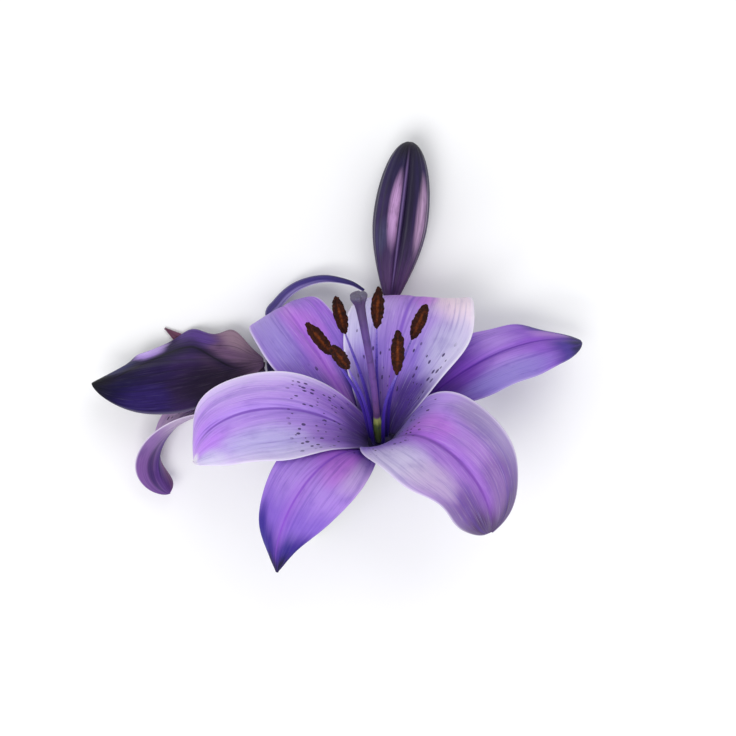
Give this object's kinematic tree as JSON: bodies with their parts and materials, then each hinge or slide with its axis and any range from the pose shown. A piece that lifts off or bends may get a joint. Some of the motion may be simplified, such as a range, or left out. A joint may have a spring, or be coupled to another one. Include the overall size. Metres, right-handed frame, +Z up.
{
  "type": "cut lily",
  "caption": "Cut lily head lying on its back: one open recurved flower with stamens and pistil, a half-open side flower, a closed bud and a narrow leaf on a short stem.",
  "frame": {"origin": "bottom centre of the bounding box, on the surface the cut lily lies on", "axes": "+X longest, from the side flower towards the open flower's right tepal; +Y towards the bud's tip; +Z up"},
  "size_m": [0.2124, 0.1792, 0.1026],
  "materials": {
    "open_tepal": "satin, finely streaked lavender tepal with a darker midrib",
    "side_tepal": "satin dark purple outer face, paler inner face",
    "bud": "waxy dark violet with mauve ridges",
    "filament": "smooth blue-violet",
    "anther": "powdery brown pollen",
    "pistil": "smooth purple style on a green ovary, dull grey stigma",
    "stalk": "smooth green stem flushed with purple",
    "leaf": "satin dark purple leaf with a pale rim"
  },
  "bodies": {
    "root": {"open_petal_left": "open_tepal", "open_petal_back": "open_tepal", "open_petal_front": "open_tepal", "open_sepal_back": "open_tepal", "open_sepal_right": "open_tepal", "open_sepal_front": "open_tepal", "side_petal_upper": "side_tepal", "side_petal_lower": "side_tepal", "side_petal_under": "side_tepal", "side_sepal_upper": "side_tepal", "side_sepal_under": "side_tepal", "side_sepal_lower": "side_tepal", "open_filament_back_left": "filament", "open_anther_back_left": "anther", "open_filament_left": "filament", "open_anther_left": "anther", "open_filament_front_left": "filament", "open_anther_front_left": "anther", "open_filament_back": "filament", "open_anther_back": "anther", "open_filament_front_right": "filament", "open_anther_front_right": "anther", "open_filament_right": "filament", "open_anther_right": "anther", "side_filament_1": "filament", "side_anther_1": "anther", "side_filament_2": "filament", "side_anther_2": "anther", "side_filament_3": "filament", "side_anther_3": "anther", "side_filament_4": "filament", "side_anther_4": "anther", "side_filament_5": "filament", "side_anther_5": "anther", "side_filament_6": "filament", "side_anther_6": "anther", "open_pistil": "pistil", "side_pistil": "pistil", "stem": "stalk", "open_flower_stalk": "stalk", "side_flower_stalk": "stalk", "bud_stalk": "stalk", "bud_sepal_1": "bud", "bud_petal_1": "bud", "bud_sepal_2": "bud", "bud_petal_2": "bud", "bud_sepal_3": "bud", "bud_petal_3": "bud", "bract_leaf": "leaf"}
  },
  "joints": []
}
